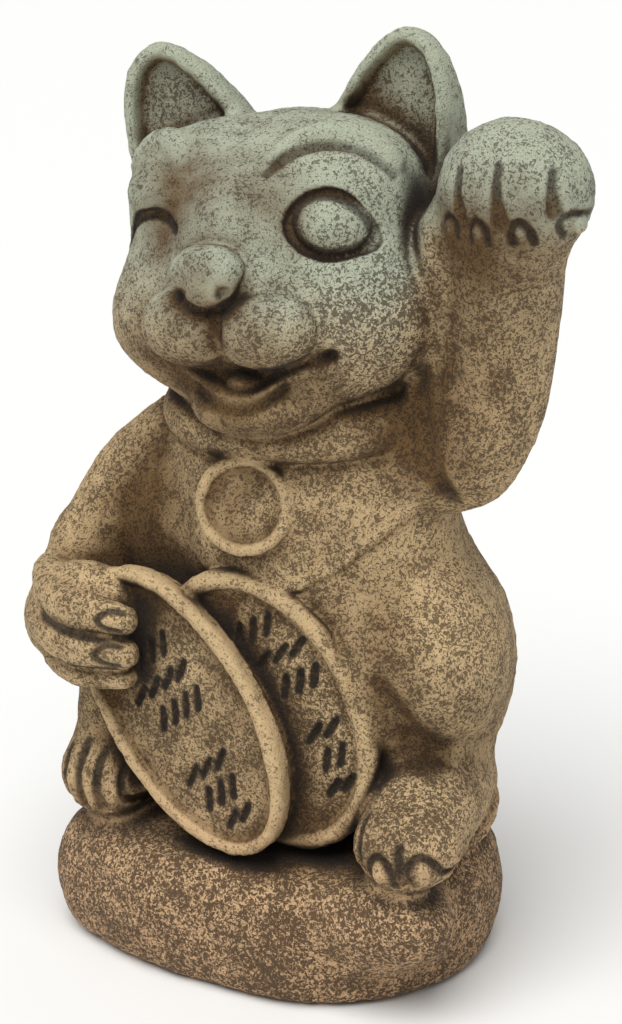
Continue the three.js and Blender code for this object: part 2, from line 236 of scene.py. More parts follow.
def within(p, middle, reach, form):
    """The form's distance, worked out only near it."""
    offsets = p - np.array(middle, float)
    near = np.einsum("ij,ij->i", offsets, offsets) < reach * reach
    total = np.full(len(p), FAR)
    if near.any():
        total[near] = form(p[near])
    return total


# How far in front a draped line starts, and in how many steps it comes down
DRAPE_START = 110.0
DRAPE_STEPS = 70


def draped(form, line, count, lift=0.0, closed=False):
    """A line given in the front view, laid on a form's surface from the front."""
    flat = curve(line, count, closed)
    if closed:
        flat = np.vstack([flat, flat[:1]])
    p = np.column_stack([flat[:, 0], np.full(len(flat), -DRAPE_START), flat[:, 1]])
    for _ in range(DRAPE_STEPS):
        p[:, 1] += 0.8 * np.maximum(form(p), 0)
    p[:, 1] -= lift
    return p


# Head, in its own frame

HEAD_CENTRE = np.array([-3.0, -2.0, 230.0])
HEAD_TURN = turned(-2.5, -6.1, 9.6)
HEAD = [
    ((0, 4, 2), (46, 42, 38), 0),
    *both(22, -12, 17, (24, 23, 20), 12),
    *both(22, -14, -18, (31.5, 30, 25), 14),
    ((0, -17, -31), (32, 28, 22), 10),
    ((-1, -37, -9), (19, 15, 15), 12),
    ((-1, -32, 9), (15, 18, 17), 14),
    ((0, -36, -43), (20, 14, 9), 6),
]


def skull(q):
    """The bare head, with its cheeks, chin and muzzle."""
    return clay(q, HEAD)


# Lines of the face in the front view, each point across and up
EYE = [
    (17.5, 11), (20, 15.7), (25.8, 18), (31.2, 16.6), (34.6, 12.6),
    (39.3, 4.6), (34.5, 2.0), (28, 1.2), (22.3, 3.2), (19, 6.5),
]
WINK = [(-43, 5), (-38, 11.6), (-30, 14.3), (-23.7, 13.2), (-18.5, 10)]
BROW = [(10, 27.5), (13.6, 31), (17.4, 32.9), (25.8, 34), (33.4, 32.5), (39, 28.8), (43, 24)]
SQUINT_BROW = [(-39.6, 27.5), (-34.3, 32), (-28, 33.5), (-23.7, 32.5), (-18.8, 28)]
LIP = [(-18, -30.5), (-14, -33.2), (-5.5, -37.6), (1.8, -39), (7.8, -37.8), (13, -34), (20, -31.5)]
CHIN = [(-15, -36), (-10.2, -39.2), (-3.1, -41.6), (3, -41.5), (8.5, -39.3), (13, -36)]

# The mouth's hollow, as the stations of a limb
MOUTH = [
    (-19, -45, -28.6, 2, 1.2), (-11, -48, -31, 5, 3.6), (1, -51, -33.6, 9, 6.2),
    (12, -48.5, -31, 5.5, 3.8), (20, -46, -29.4, 3.6, 2.6), (27.5, -41, -27.4, 2.6, 1.8),
]

# Lumps of the face: the middle, the half sizes and for the eye its turn
LIP_LOBES = ((-1, (-14, -44.3, -17), (15.5, 15, 12.5)), (1, (9.5, -44, -18.3), (16, 15, 12.2)))
LIP_CLEFT = ((-1, -58, -17), (1.2, 4.5, 9))
TONGUE = ((0.5, -41, -34.5), (6, 6.5, 3.5))
SQUINT_LID = ((-30, -26.5, 20), (10, 10, 8))
NOSE = ((-3.2, -54, 0.2), (11, 8.5, 7.2))
NOSE_TIP = ((-3, -55, -5.4), (7.6, 7, 5.4))
NOSTRILS = ((-1, (-10.6, -60, -6.4)), (1, (4.6, -60, -6.4)))
EYE_SOCKET = ((27.3, -36.5, 9.3), (10, 4.4, 8.4), (0, 12, 25))
EYEBALL = ((26.9, -32.2, 8.8), (11.4, 7.4, 8.9), (0, 12, 25))

EYE_RING = draped(skull, EYE, 28, closed=True)
BROW_LINE = draped(skull, BROW, 14)
SQUINT_LINE = draped(skull, SQUINT_BROW, 10)

# An ear's outline from one foot over its tip to the other, in the plane of the ear
EAR_TIP = 32
EAR_HEIGHT = 46
EAR_FRONT = 9.0
EAR_STEPS = 20
EAR_LINE = np.vstack([
    bezier((-20, -14), (-20, 2), (-7, EAR_TIP), (4, EAR_TIP), EAR_STEPS),
    bezier((4, EAR_TIP), (18, EAR_TIP), (24, 12), (24, -14), EAR_STEPS)[1:],
])


def on_ear(q, side):
    """Places in an ear's own frame, and how far each is inside its outline."""
    e = (q - np.array([side * 31.0, 8.0, 32.0])) @ turned(90, side * 14, side * -6)
    x, y, z = e[:, 0] * side, e[:, 1], e[:, 2]
    gap, _, _ = nearest_on(np.column_stack([x, np.maximum(y, -13)]), EAR_LINE)
    inner, outer = EAR_LINE[:EAR_STEPS], EAR_LINE[EAR_STEPS - 1:][::-1]
    inside = (x > np.interp(y, inner[:, 1], inner[:, 0])) & (y < EAR_TIP)
    inside = inside & (x < np.interp(y, outer[:, 1], outer[:, 0]))
    return x, y, z, np.where(inside, gap, -gap)


def ear(q, side):
    """An upright ear with a rounded rim and a sunken front."""
    x, y, z, inset = on_ear(q, side)
    # The back grows thicker towards the root, and the front is sunk within the rim
    back = EAR_FRONT - 12 * (0.75 + np.clip((EAR_TIP - y) / EAR_HEIGHT, 0, 1))
    body = slab(inset, z, back, EAR_FRONT, 3.4)
    sunk = 4.8 * ramp(3.2, 6.4, inset) - 1.6 * np.exp(-((x - 2) / 9) ** 2 - ((y - 2) / 12) ** 2)
    return np.maximum(body, (z - EAR_FRONT + np.maximum(sunk, 0)) * 0.85)


def face(q):
    """The head with its swellings, before the fine tools."""
    total = skull(q)
    total = join(total, tapered(q, BROW_LINE + np.array([0, 1.2, 1.2]), 2.6, 1.2), 4)
    total = join(total, tapered(q, SQUINT_LINE + np.array([0, 1.0, 0]), 4.6, 2.5), 3)
    return join(total, lump(q, *SQUINT_LID), 4)


def lower_jaw(q):
    """The bare head with its mouth open."""
    return cut(skull(q), limb(q, MOUTH, (0, 1, 0)), 1.5)


WINK_LINE = draped(face, WINK, 14)
BROW_GROOVE = draped(face, np.array(BROW) - [0, 2.6], 14)
LIP_LINE = draped(lower_jaw, LIP, 14, lift=-0.6)
CHIN_LINE = draped(skull, CHIN, 12)


def head(p):
    """The finished head, with its ears, eyes, nose and mouth."""
    q = (p - HEAD_CENTRE) @ HEAD_TURN
    total = face(q)
    total = cut(total, tapered(q, BROW_GROOVE, 1.2, 0.5), 1.5)
    # Mouth, tongue and lower lip, overhung by the two lobes of the upper lip
    total = cut(total, limb(q, MOUTH, (0, 1, 0)), 2)
    total = join(total, tapered(q, LIP_LINE, 1.8, 1.0), 2.5)
    total = join(total, lump(q, *TONGUE), 1)
    total = cut(total, tapered(q, CHIN_LINE, 1.3, 0.6), 2.5)
    for side, place, size in LIP_LOBES:
        total = join(total, lump(q, place, size), 1.5)
        total = join(total, ear(q, side), 4)
    total = cut(total, lump(q, *LIP_CLEFT), 1.5)
    # Nose
    total = join(total, join(lump(q, *NOSE), lump(q, *NOSE_TIP), 4), 1.5)
    for side, place in NOSTRILS:
        total = cut(total, lump(q, place, (3, 3.4, 1.8), (0, side * 30, 0)), 1)
    # Open eye in its ring
    total = cut(total, lump(q, *EYE_SOCKET), 1)
    total = cut(total, cord(q, EYE_RING, 2.2), 0.8)
    total = join(total, lump(q, *EYEBALL), 0.6)
    # The wink is cut deeper than it is wide
    squash = np.array([1, 0.55, 1])
    return cut(total, tapered(q * squash, WINK_LINE * squash, 1.3, 0.6), 1)


# Body, bib and collar

BODY = [
    ((0, 10, 88), (46, 42, 46), 0),
    ((2, 2, 134), (48.5, 36, 42), 20),
    ((2, 0, 164), (50, 31, 26), 16),
    ((0, 5, 192), (43, 37, 20), 14),
    ((-44, -6, 134), (20, 20, 34), 8),
    *both(33, 12, 96, (31, 38, 42), 12),
    ((46, -6, 106), (24, 27, 26), 13),
    ((-53, -16, 76), (20, 25, 32), 6),
    ((0, 30, 120), (36, 27, 57), 14),
]

# The bib's lower edge in the front view, each point across and up
BIB = np.array([
    (-30, 138), (-16, 130), (2, 127), (19, 131), (30, 138), (39, 147), (48, 156), (53, 165), (57, 176),
], float)
BIB_PROUD = 1.7


def dressed(p):
    """The trunk with its bib, which stands a little proud of the belly."""
    below = np.interp(p[:, 0], BIB[:, 0], BIB[:, 1]) + 3 * np.maximum(p[:, 0] - BIB[-1, 0], 0)
    share = np.clip((p[:, 2] - below) / 1.8 + 0.5, 0, 1) * np.clip((14 - p[:, 1]) / 12, 0, 1)
    share = share * np.clip((p[:, 0] + 26) / 12, 0, 1)
    return clay(p, BODY) - BIB_PROUD * share * share * (3 - 2 * share)


def collar(p):
    """A soft round band that dips in front."""
    c = (p - np.array([2.0, 0.0, 181.0])) @ turned(0, -4, 0)
    x, y = c[:, 0], c[:, 1]
    z = c[:, 2] - 4 * np.minimum(y / 40, 0)
    around = np.sqrt((x / 49) ** 2 + (y / 40) ** 2)
    out = (around - 1) * np.hypot(x, y) / np.maximum(around, 1e-6)
    section = np.column_stack([out + 9, np.zeros(len(p)), z])
    ring = rounded(section, np.array([9.0, 1.0, 8.6]))
    return np.where(around < 0.8, np.abs(z) - 8, ring)


# Mound: how far it reaches at every 30 degrees round, and its profile as shares of that and heights

MOUND_REACH = np.array([65, 64, 61, 58, 62, 68, 74, 83, 66, 57, 60, 64], float)
MOUND_PLAN = curve([
    (r * np.cos(np.radians(30 * i)), r * np.sin(np.radians(30 * i))) for i, r in enumerate(MOUND_REACH)
], 72, closed=True)
MOUND_TOP = 44
MOUND_PROFILE = np.vstack([
    [(0, 0)],
    curve([(0.88, 0), (0.955, 4), (0.998, 15), (0.99, 26), (0.94, 35), (0.82, 41), (0.5, MOUND_TOP)], 26),
    [(0, MOUND_TOP)],
])

# It swells a little under the toes of the left foot
MOUND_SWELLING = ((52, -33, 30), (21, 16, 13))


def mound(p):
    """The low mound of stone that the cat sits on, flat below."""
    angle = np.arctan2(p[:, 1], p[:, 0])
    plan_angle = np.unwrap(np.arctan2(MOUND_PLAN[:, 1], MOUND_PLAN[:, 0]))
    plan_reach = np.hypot(MOUND_PLAN[:, 0], MOUND_PLAN[:, 1])
    reach = np.interp(angle % (2 * np.pi), plan_angle, plan_reach, period=2 * np.pi)
    out = np.hypot(p[:, 0], p[:, 1])
    z = p[:, 2]
    best = np.full(len(p), ENDLESS)
    for (s0, h0), (s1, h1) in zip(MOUND_PROFILE[:-1], MOUND_PROFILE[1:]):
        run_r, run_z = (s1 - s0) * reach, h1 - h0
        t = np.clip(((out - s0 * reach) * run_r + (z - h0) * run_z) / (run_r**2 + run_z**2), 0, 1)
        best = np.minimum(best, np.hypot(out - s0 * reach - t * run_r, z - h0 - t * run_z))
    share = out / reach
    widest = np.argmax(MOUND_PROFILE[:, 0])
    top = np.interp(share, MOUND_PROFILE[widest:, 0][::-1], MOUND_PROFILE[widest:, 1][::-1])
    low = np.interp(share, MOUND_PROFILE[:widest + 1, 0], MOUND_PROFILE[:widest + 1, 1])
    inside = (share < MOUND_PROFILE[:, 0].max()) & (z < top) & (z > low)
    return join(np.where(inside, -best, best), lump(p, *MOUND_SWELLING), 12)


# Coins and medallion

# Rows of plain strokes on each coin: how far up the row is, the lean in degrees and the length of its
# strokes, and how far across each one is
FRONT_ROWS = [
    (21, 35, 7, (-9, -3.5, 2, 7.5)), (11, 60, 7, (-11, -4.5, 2, 8.5)), (1, 35, 7, (-8, -2.5, 3, 8.5)),
    (-19, 60, 7, (-9, -2.5, 4)), (-28, 35, 7, (-8, -2.5, 3)), (-37, 60, 6, (-4, 2)),
]
BACK_ROWS = [
    (25, 35, 7, (3, 8.5, 14)), (15, 60, 7, (7, 13.5, 20)), (5, 35, 7, (10, 15.5, 21)),
    (-12, 60, 7, (12, 18.5)), (-21, 35, 7, (12, 17.5)), (-30, 60, 6, (10, 15.5)),
]


def on_disc(p, place, turn, half_width, half_length):
    """How far each point is inside a disc's outline, and how far behind its front."""
    c = (p - np.array(place, float)) @ turned(*turn)
    size = np.array([half_width, half_length], float)
    flat = c[:, [0, 2]]
    k0 = np.linalg.norm(flat / size, axis=1)
    k1 = np.linalg.norm(flat / size**2, axis=1)
    return -k0 * (k0 - 1) / np.maximum(k1, TINY), c[:, 1]


def disc(p, place, turn, half_width, half_length, thickness, backing, rim, sunk, marks=()):
    """A flat oval piece with a raised rim, its front to -Y, and marks cut along lines in its field."""
    inset, y = on_disc(p, place, turn, half_width, half_length)
    bead = np.hypot(inset - rim / 2, y - rim / 2) - rim / 2
    total = join(bead, slab(inset - 0.2, y, sunk, thickness, 1.0), 0.8)
    total = join(total, slab(inset - 4, y, sunk, backing, 1.0), 1.5)
    for line in marks:
        total = cut(total, cord(p, line, [0.8, 1.2, 0.7]), 0.5)
    return total


def strokes(rows, place, turn, sunk, **rest):
    """The lines of a coin's strokes, in the layout."""
    lines = []
    for up, lean, long, places in rows:
        run = np.array([np.sin(np.radians(lean)), 0, np.cos(np.radians(lean))]) * long / 2
        for across in places:
            middle = np.array([across, sunk - 0.2, up])
            flat = np.array([middle - run, middle, middle + run])
            lines.append(flat @ turned(*turn).T + np.array(place, float))
    return lines


FRONT_COIN = dict(
    place=(-17, -48, 88), turn=(0, -37, 0), half_width=30, half_length=50,
    rim=5, backing=14, thickness=7, sunk=2.8,
)
BACK_COIN = dict(
    place=(8.5, -38, 90.5), turn=(0, -28, 10), half_width=33.5, half_length=47,
    rim=6.5, backing=20, thickness=7, sunk=2.8,
)
MEDALLION = dict(
    place=(3, -40, 157), turn=(-8, 0, 18), half_width=15.5, half_length=15.5,
    rim=4, backing=12, thickness=6, sunk=2.2,
)
DISCS = (FRONT_COIN, BACK_COIN, MEDALLION)
FRONT_STROKES = strokes(FRONT_ROWS, **FRONT_COIN)
BACK_STROKES = strokes(BACK_ROWS, **BACK_COIN)


def coins(p):
    """The two coins, one before the other."""
    front = disc(p, **FRONT_COIN, marks=FRONT_STROKES)
    back = disc(p, **BACK_COIN, marks=BACK_STROKES)
    return join(front, back, 1.0)


# Raised arm and paw

ARM = [(57, 0, 173, 17, 17), (63.5, 0, 188, 17.5, 17), (67, 0, 208, 17, 17.5), (71, -3, 236, 17, 16.5)]
ARM_WEB = [(48, -1, 184, 11, 13), (51, -4, 212, 11, 13), (54, -6, 240, 10, 12)]
ARMPIT = ((44, 1, 171), (22, 20, 19))
PAW = ((75, -7, 254.5), (23, 19, 20.5))


def raised_arm(p):
    """The arm, with the web of stone that holds it to the head."""
    arm = join(limb(p, ARM, (1, 0, 0)), lump(p, *ARMPIT), 5)
    return join(arm, limb(p, ARM_WEB, (1, 0, 0), 6), 5)


def paw_ball(p):
    """The bare paw."""
    return lump(p, *PAW)


PAW_GAPS = [
    draped(paw_ball, line, 8, lift=-0.3)
    for line in (
        [(65.9, 262), (66.7, 253.5), (67.9, 246)],
        [(78.5, 264), (79.1, 255), (79.9, 248)],
        [(91.9, 263), (92.7, 257.5), (93.5, 252)],
    )
]
PAW_CLAWS = [(62.5, 245.5), (72.8, 245.5), (85, 246), (96.5, 248)]
CLAW_ARCH = np.array([(-2.6, -3.4), (-2.5, 0.6), (0, 3.2), (2.5, 0.6), (2.6, -3.4)])
PAW_ARCHES = [draped(paw_ball, CLAW_ARCH + claw, 11) for claw in PAW_CLAWS]
PAW_TIPS = [draped(paw_ball, [claw, claw], 2, lift=-1.3)[0] for claw in PAW_CLAWS]


def raised_paw(p):
    """The paw, with its toes parted and its claws outlined."""
    total = paw_ball(p)
    for line in PAW_GAPS:
        total = cut(total, deepening(p, line, 2.1), 1.5)
    for arch, tip in zip(PAW_ARCHES, PAW_TIPS):
        total = cut(total, cord(p, arch, 0.9), 0.8)
        total = join(total, lump(p, tip, (1.9, 2.6, 3)), 0.6)
    return total


# Holding arm and hand

UPPER_ARM = [(-42, -3, 160, 16, 18), (-57, -9, 147, 15.5, 17), (-68, -17, 127, 15.5, 15.5)]
FOREARM = [(-70, -18, 122, 16, 15), (-68, -30, 113, 15.5, 15), (-60, -41, 109, 14, 14)]
HAND = ((-60, -42, 109), (18, 14, 15.5))
HAND_BACK = ((-51, -46, 119), (17, 11, 12))
FINGERS = [
    [(-72, -38, 121, 7), (-60, -51, 120, 7), (-46, -57, 119, 6.4), (-31, -55.5, 118.5, 4.8)],
    [(-73, -38, 110, 7), (-61, -53, 109, 6.5), (-46, -59, 108, 6.2), (-30.5, -56.5, 108, 5)],
    [(-70, -36, 100.5, 6.5), (-60, -50, 99.5, 5.8), (-46, -55.5, 98.8, 5.4), (-33, -53.5, 99.2, 4.4)],
]
FINGER_LINES = [curve(finger, 10) for finger in FINGERS]


def fingers(p):
    """The three fingers. The last number of each of their stations is the radius."""
    total = np.full(len(p), FAR)
    for line in FINGER_LINES:
        total = join(total, cord(p, line[:, :3], line[:, 3]), 1.8)
    return total


NAIL_LINES = [
    draped(fingers, [(-29, z + 3), (-33, z + 3.4), (-36.5, z + 0.4), (-34, z - 2.6), (-29.5, z - 3)], 9)
    for z in (119, 108.4)
]


def holding_arm(p):
    """The arm and hand that hold the coins."""
    total = join(limb(p, UPPER_ARM, (0, 1, 0)), limb(p, FOREARM, (1, 0, 0)), 5)
    total = join(total, lump(p, *HAND), 4)
    total = join(total, lump(p, *HAND_BACK), 5)
    total = join(total, fingers(p), 1.5)
    for line in NAIL_LINES:
        total = cut(total, tapered(p, line, 0.9, 0.5), 0.8)
    return total


# Feet

def bare_foot(stations):
    """A foot before its toes are parted, as a form."""
    return lambda p: limb(p, stations, (1, 0, 0))


def toe_tools(stations, toes, claws):
    """Where the tools go that part the toes and outline the claws of a foot."""
    form = bare_foot(stations)
    gaps = [
        (draped(form, [(x, high), (x + 0.3, (high + low) / 2), (x + 0.8, low)], 7), deep)
        for x, high, low, deep in toes
    ]
    arches = [draped(form, CLAW_ARCH * (1.5, 1.7) + claw, 13) for claw in claws]
    tips = [draped(form, [claw, claw], 2, lift=-1.3)[0] for claw in claws]
    return gaps, arches, tips


LEFT_FOOT = [(46, 10, 60, 17, 17), (52, -12, 61.5, 17.5, 18.5), (58, -33, 57, 16.5, 14)]
LEFT_GAPS = [(47.5, 66, 50, 1.7), (62.3, 62, 48, 2.0)]
LEFT_TOOLS = toe_tools(LEFT_FOOT, LEFT_GAPS, [(56, 53), (68.5, 54)])
RIGHT_FOOT = [(-43, 10, 60, 16, 17), (-50, -12, 62, 17.5, 19), (-53, -38, 56.5, 15, 14)]
RIGHT_GAPS = [(-61, 66, 48, 1.6), (-54, 69, 48, 1.9), (-47.5, 69, 48, 1.9), (-41, 68, 48, 1.9)]
RIGHT_TOOLS = toe_tools(RIGHT_FOOT, RIGHT_GAPS, [])


def foot(p, stations, tools):
    """A foot with its toes parted and its claws outlined."""
    total = bare_foot(stations)(p)
    gaps, arches, tips = tools
    for line, deep in gaps:
        total = cut(total, deepening(p, line, deep), 1.3)
    for arch, tip in zip(arches, tips):
        total = cut(total, cord(p, arch, 1.2), 0.8)
        total = join(total, lump(p, tip, (2.4, 2.8, 4.4)), 0.6)
    return total


# Creases above the left foot and between the raised arm and the chest, and the tail's stations
THIGH_CREASE = curve([(47, -33, 105), (49.5, -31, 98), (51.5, -28, 91), (54, -23, 86), (60, -17, 82)], 12)
ARM_CREASE = curve([(50.5, -16, 201), (49.5, -15, 190), (52, -17, 179), (55.5, -18, 171), (60, -12, 160)], 12)
TAIL = [(-6, 49, 58, 8, 9), (24, 44, 50, 8, 9), (44, 30, 47, 8, 9), (52, 12, 45, 7.5, 8), (52, -4, 43, 5, 6)]


def figure(p, spare=0.0):
    """The whole cat: how far each point is from its surface, true up to a few millimetres and the spare."""
    def near(middle, reach, form):
        return within(p, middle, reach + spare, form)

    total = near((0, 0, 22), 105, mound)
    total = join(total, near((0, 8, 120), 115, dressed), 2)
    total = join(total, near((0, 0, 181), 75, collar), 1.5)
    total = join(total, near((62, 0, 205), 75, raised_arm), 3)
    total = cut(total, near((54, -16, 181), 32, lambda n: tapered(n, ARM_CREASE, 2.4, 0.8)), 4)
    total = join(total, near((-58, -20, 130), 70, holding_arm), 2.5)
    total = join(total, near((50, -18, 58), 60, lambda n: foot(n, LEFT_FOOT, LEFT_TOOLS)), 7)
    total = cut(total, near((50, -28, 88), 26, lambda n: tapered(n, THIGH_CREASE, 3.8, 1.0)), 7)
    total = join(total, near((-50, -18, 56), 60, lambda n: foot(n, RIGHT_FOOT, RIGHT_TOOLS)), 9)
    total = join(total, near((30, 25, 50), 70, lambda n: limb(n, TAIL, (0, 0, 1), 16, twist=4.6)), 2)
    total = join(total, near((-8, -38, 88), 80, coins), 1.5)
    total = join(total, near((3, -35, 157), 34, lambda n: disc(n, **MEDALLION)), 1.5)
    total = join(total, near((-3, -4, 235), 95, head), 2.6)
    return join(total, near((75, -7, 254), 40, raised_paw), 8)


# Casting the clay as one closed mesh

def mesh_points(mesh):
    """The places of a mesh's vertices in the layout, in millimetres."""
    places = np.empty(len(mesh.vertices) * 3)
    mesh.vertices.foreach_get("co", places)
    return places.reshape(-1, 3) / MM + LAYOUT_SHIFT


def set_points(mesh, p):
    """Puts the vertices at places of the layout, kept inside the solid's box."""
    low, high = (np.array(corner) / MM for corner in cad_bounds)
    places = np.clip(p - LAYOUT_SHIFT, low, high)
    mesh.vertices.foreach_set("co", (places * MM).reshape(-1))
    mesh.update()


# Four corners of a small cube, from which the slope of a form is felt
CORNERS = np.array([(1, -1, -1), (-1, -1, 1), (-1, 1, -1), (1, 1, 1)], float)
SLOPE_STEP = 0.25


def slope(p):
    """The outward direction of the clay's surface near each point."""
    total = sum(corner * figure(p + corner * SLOPE_STEP)[:, None] for corner in CORNERS)
    return total / np.maximum(np.linalg.norm(total, axis=1), TINY)[:, None]


def pressed(p, most):
    """Points moved towards the clay's surface by nine tenths of their gap, or of the most allowed."""
    gap = np.clip(figure(p), -most, most)
    return p - slope(p) * gap[:, None] * 0.9


# The steps across one block of the net. Only blocks near the surface are worked out step by step
BLOCK = 4


def cast(form, low, high, step):
    """A closed net of four-sided faces over a form: its points and its faces."""
    blocks = np.ceil((np.array(high) - low) / (step * BLOCK)).astype(int)
    middles = np.stack(np.meshgrid(*(np.arange(n) for n in blocks), indexing="ij"), -1) + 0.5
    far = form((middles * BLOCK * step + low).reshape(-1, 3)).reshape(blocks)
    value = far.repeat(BLOCK, 0).repeat(BLOCK, 1).repeat(BLOCK, 2)
    near = (np.abs(far) < BLOCK * step * 1.2 + 1).repeat(BLOCK, 0).repeat(BLOCK, 1).repeat(BLOCK, 2)
    for axis in range(3):
        near = near | np.roll(near, 1, axis)
    nodes = np.argwhere(near)
    value[near] = form(nodes * step + low)

    # One point in each cell that the surface passes through
    cells = tuple(np.array(value.shape) - 1)
    corners = [(i, j, k) for i in (0, 1) for j in (0, 1) for k in (0, 1)]
    shifted = {c: value[c[0]:c[0] + cells[0], c[1]:c[1] + cells[1], c[2]:c[2] + cells[2]] for c in corners}
    inside = sum((shifted[c] < 0).astype(int) for c in corners)
    crossed = (inside > 0) & (inside < 8)
    number = np.full(cells, -1)
    number[crossed] = np.arange(crossed.sum())
    total = np.zeros((crossed.sum(), 3))
    count = np.zeros(crossed.sum())
    for a in corners:
        for axis in range(3):
            if a[axis]:
                continue
            b = tuple(v + (axis == i) for i, v in enumerate(a))
            va, vb = shifted[a][crossed], shifted[b][crossed]
            cuts = (va < 0) != (vb < 0)
            place = np.tile(np.array(a, float), (len(va), 1))
            place[:, axis] += va / np.where(cuts, va - vb, 1)
            total[cuts] += place[cuts]
            count[cuts] += 1
    points = (np.argwhere(crossed) + total / count[:, None]) * step + low

    # One face round each grid edge that the surface cuts
    faces = []
    solid = value < 0
    for axis in range(3):
        u, v = (axis + 1) % 3, (axis + 2) % 3
        ahead = np.roll(solid, -1, axis)
        edges = np.argwhere(solid != ahead)
        keep = (edges[:, axis] < cells[axis]) & (edges[:, u] > 0) & (edges[:, v] > 0)
        edges = edges[keep & (edges[:, u] < cells[u]) & (edges[:, v] < cells[v])]
        ring = []
        for du, dv in ((1, 1), (0, 1), (0, 0), (1, 0)):
            cell = edges.copy()
            cell[:, u] -= du
            cell[:, v] -= dv
            ring.append(number[tuple(cell.T)])
        ring = np.stack(ring, 1)
        inward = ~solid[tuple(edges.T)]
        ring[inward] = ring[inward][:, ::-1]
        faces.append(ring)
    return points, np.vstack(faces)


# The net's step and its margin round the solid's box, the step of the finer remeshed clay, all in
# millimetres, and the triangles that are kept
NET_STEP = 1.4
NET_MARGIN = 4.0
FINE_STEP = 0.9
TRIANGLES = 196000

# The clay is cast as an even net, remeshed finer, pressed onto the carving and thinned where it is smooth
low, high = (np.array(corner) / MM + LAYOUT_SHIFT for corner in cad_bounds)
points, faces = cast(figure, low - NET_MARGIN, high + NET_MARGIN, NET_STEP)
mesh = bpy.data.meshes.new("stone_cat")
mesh.from_pydata((points - LAYOUT_SHIFT) * MM, [], faces)
mesh.validate()
cat = bpy.data.objects.new("stone_cat", mesh)
bpy.context.scene.collection.objects.link(cat)
bpy.context.view_layer.objects.active = cat
cat.select_set(True)
remesh = cat.modifiers.new("clay", "REMESH")
remesh.mode = "VOXEL"
remesh.voxel_size = FINE_STEP * MM
bpy.ops.object.modifier_apply(modifier="clay")
set_points(cat.data, pressed(mesh_points(cat.data), 1.5))
thin = cat.modifiers.new("thin", "DECIMATE")
thin.ratio = TRIANGLES / (2 * len(cat.data.polygons))
thin.use_collapse_triangulate = True
bpy.ops.object.modifier_apply(modifier="thin")
mesh = cat.data
p = pressed(mesh_points(mesh), 0.6)
out = slope(p)


# Paint. Where the wash, the painted shade and the pits go, as one value for each vertex and purpose

def eased(mesh, values, rounds):
    """The value of each vertex, averaged with its neighbours' again and again."""
    pairs = np.empty(len(mesh.edges) * 2, int)
    mesh.edges.foreach_get("vertices", pairs)
    a, b = pairs.reshape(-1, 2).T
    size = len(values)
    count = np.maximum(np.bincount(a, minlength=size) + np.bincount(b, minlength=size), 1)
    for _ in range(rounds):
        total = np.bincount(a, values[b], size) + np.bincount(b, values[a], size)
        values = 0.5 * values + 0.5 * total / count
    return values


def sheltered(p, out, reach):
    """Near 1 deep in a hollow of about this size, in millimetres."""
    return np.clip((reach - figure(p + out * reach, reach)) / reach, -0.5, 1.5)


def exposed(p, out, reach):
    """Near 1 on a ridge or rim of about this size, in millimetres."""
    return np.clip((reach + figure(p - out * reach)) / reach, 0.0, 1.5)


# The feelers sent out from each place, their reach in millimetres, and the turn from one to the next,
# which spreads them evenly round
FEELERS = 12
FEELER_REACH = 42.0
FEELER_TURN = 2.4


def occlusion_for_shade(p, out, faces):
    """The share of the air round each place that the stone itself shuts out, felt for in a few directions. It
    darkens the wash as painted shade.
    """
    tree = BVHTree.FromPolygons(p.tolist(), faces.tolist())
    feelers = []
    for i in range(FEELERS):
        z = 1 - (2 * i + 1) / FEELERS
        level = math.sqrt(1 - z * z)
        feelers.append(Vector((level * math.cos(FEELER_TURN * i), level * math.sin(FEELER_TURN * i), z)))
    shares = []
    for place, normal in zip(p.tolist(), out.tolist()):
        normal = Vector(normal)
        start = Vector(place) + normal
        felt = total = 0.0
        for feeler in feelers:
            lean = feeler.dot(normal)
            gap = tree.ray_cast(start, feeler if lean > 0 else -feeler, FEELER_REACH)[3]
            total += abs(lean)
            if gap is not None:
                felt += abs(lean) * (1 - gap / FEELER_REACH)
        shares.append(felt / total)
    return np.array(shares)


def spots(p, places):
    """Soft round spots: the middle, the radius and the strength of each, in the layout."""
    total = np.zeros(len(p))
    for middle, radius, strength in places:
        gap = np.linalg.norm((p - middle) / radius, axis=1)
        total += strength * np.exp(-gap * gap)
    return total


LINE_FADE = 0.8


def line_mask(p, line, width):
    """1 within half the width of a tool's line, fading to nothing just outside."""
    offsets = p - line.mean(0)
    near = np.einsum("ij,ij->i", offsets, offsets) < (np.ptp(line, axis=0).max() + width) ** 2
    value = np.zeros(len(p))
    value[near] = 1 - ramp(width / 2, width / 2 + LINE_FADE, cord(p[near], line, 0.0))
    return value


def ear_floor(q, side):
    """1 on the sunken front of an ear."""
    x, y, z, inset = on_ear(q, side)
    return ramp(3.0, 5.5, inset) * ramp(0.0, 3.0, z) * (1 - ramp(9.5, 11.5, z)) * ramp(-15, -9, y)


def disc_floor(p, place, turn, half_width, half_length, rim, sunk, **rest):
    """1 on the sunk field of a disc, and 1 in the corner between its rim and its field, which is darkened
    partly as painted shade.
    """
    inset, y = on_disc(p, place, turn, half_width, half_length)
    level = 1 - ramp(1.0, 2.5, np.abs(y - sunk))
    field = ramp(rim - 0.6, rim + 0.8, inset) * level
    edge = (1 - ramp(0.8, 3.2, np.abs(inset - rim - 0.3))) * level
    return field, edge


def on_head(line):
    """A line of the head's own frame, in the layout."""
    return np.array(line, float) @ HEAD_TURN.T + HEAD_CENTRE
